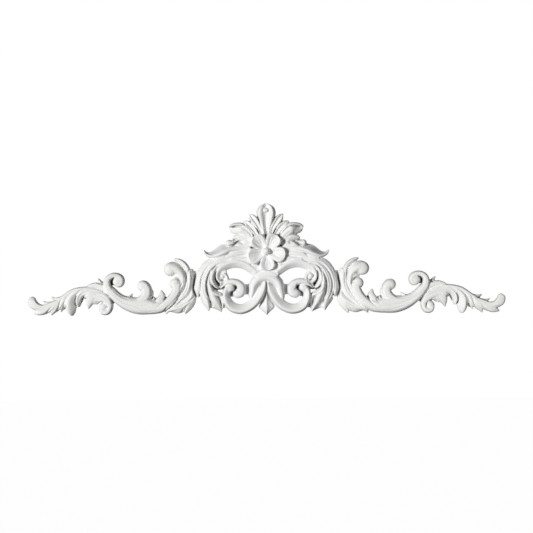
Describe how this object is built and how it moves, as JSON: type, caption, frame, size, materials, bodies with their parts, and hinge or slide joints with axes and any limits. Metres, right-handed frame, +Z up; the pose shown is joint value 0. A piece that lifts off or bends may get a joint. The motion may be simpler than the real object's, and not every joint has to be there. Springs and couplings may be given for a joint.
{
  "type": "scrolled overdoor ornament",
  "caption": "Moulded overdoor ornament of acanthus scrolls with a flower and leaf crest, a flat back for the wall, and pierced scrollwork.",
  "frame": {"origin": "middle of the flat back, halfway along the ornament and halfway up it", "axes": "+X along the ornament to the viewer's right, +Y out of the flat back into the wall, +Z up; the relief faces -Y"},
  "size_m": [1.2, 0.042, 0.281],
  "materials": {
    "moulding": "matte"
  },
  "bodies": {
    "root": {"overdoor_ornament": "moulding"}
  },
  "joints": []
}
